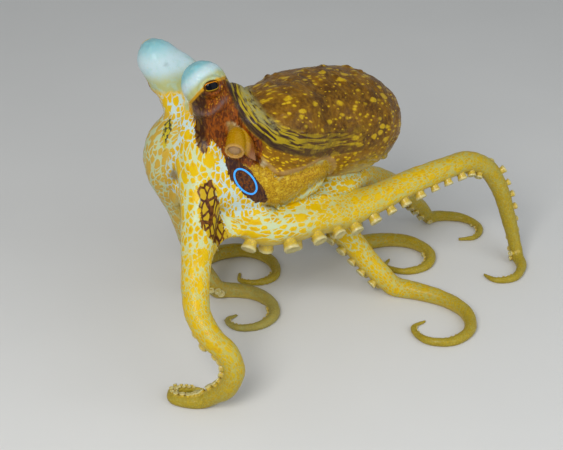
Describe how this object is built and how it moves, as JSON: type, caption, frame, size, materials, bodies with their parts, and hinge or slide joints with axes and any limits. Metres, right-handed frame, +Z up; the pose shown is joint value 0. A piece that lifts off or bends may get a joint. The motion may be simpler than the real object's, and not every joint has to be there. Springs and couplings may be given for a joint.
{
  "type": "octopus",
  "caption": "Life-size display model of an ocellate octopus, standing on its curled arms with its head raised, an arm hooked in front of it and a long arm reaching out to its side",
  "frame": {"origin": "on the ground under the middle of the animal's bounding box", "axes": "+Z is up; +X is the way the body and the long third left arm reach, away from the raised face; -Y is the animal's own left side, where the near eye looks"},
  "size_m": [0.1418, 0.1374, 0.1056],
  "materials": {
    "skin": "wet, soft, netted in pale blue-grey over yellow and brown",
    "eye": "wet, glossy"
  },
  "bodies": {
    "root": {"mantle": "skin", "head": "skin", "funnel": "skin", "arm_left_1_base": "skin", "arm_left_1_middle": "skin", "arm_left_1_tip": "skin", "arm_left_2_base": "skin", "arm_left_2_middle": "skin", "arm_left_2_lower": "skin", "arm_left_2_end": "skin", "arm_left_2_tip": "skin", "arm_left_3_base": "skin", "arm_left_3_middle": "skin", "arm_left_3_lower": "skin", "arm_left_3_tip": "skin", "arm_left_4_base": "skin", "arm_left_4_middle": "skin", "arm_left_4_lower": "skin", "arm_left_4_tip": "skin", "arm_right_1_base": "skin", "arm_right_1_middle": "skin", "arm_right_1_tip": "skin", "arm_right_2_base": "skin", "arm_right_2_middle": "skin", "arm_right_2_tip": "skin", "arm_right_3_base": "skin", "arm_right_3_middle": "skin", "arm_right_3_tip": "skin", "arm_right_4_base": "skin", "arm_right_4_middle": "skin", "arm_right_4_tip": "skin", "web_left_1_left_2": "skin", "web_left_2_left_3": "skin", "web_right_4_right_3": "skin", "web_right_3_right_2": "skin", "web_right_2_right_1": "skin", "web_right_1_left_1": "skin", "eye_left": "eye", "eye_right": "eye"}
  },
  "joints": []
}
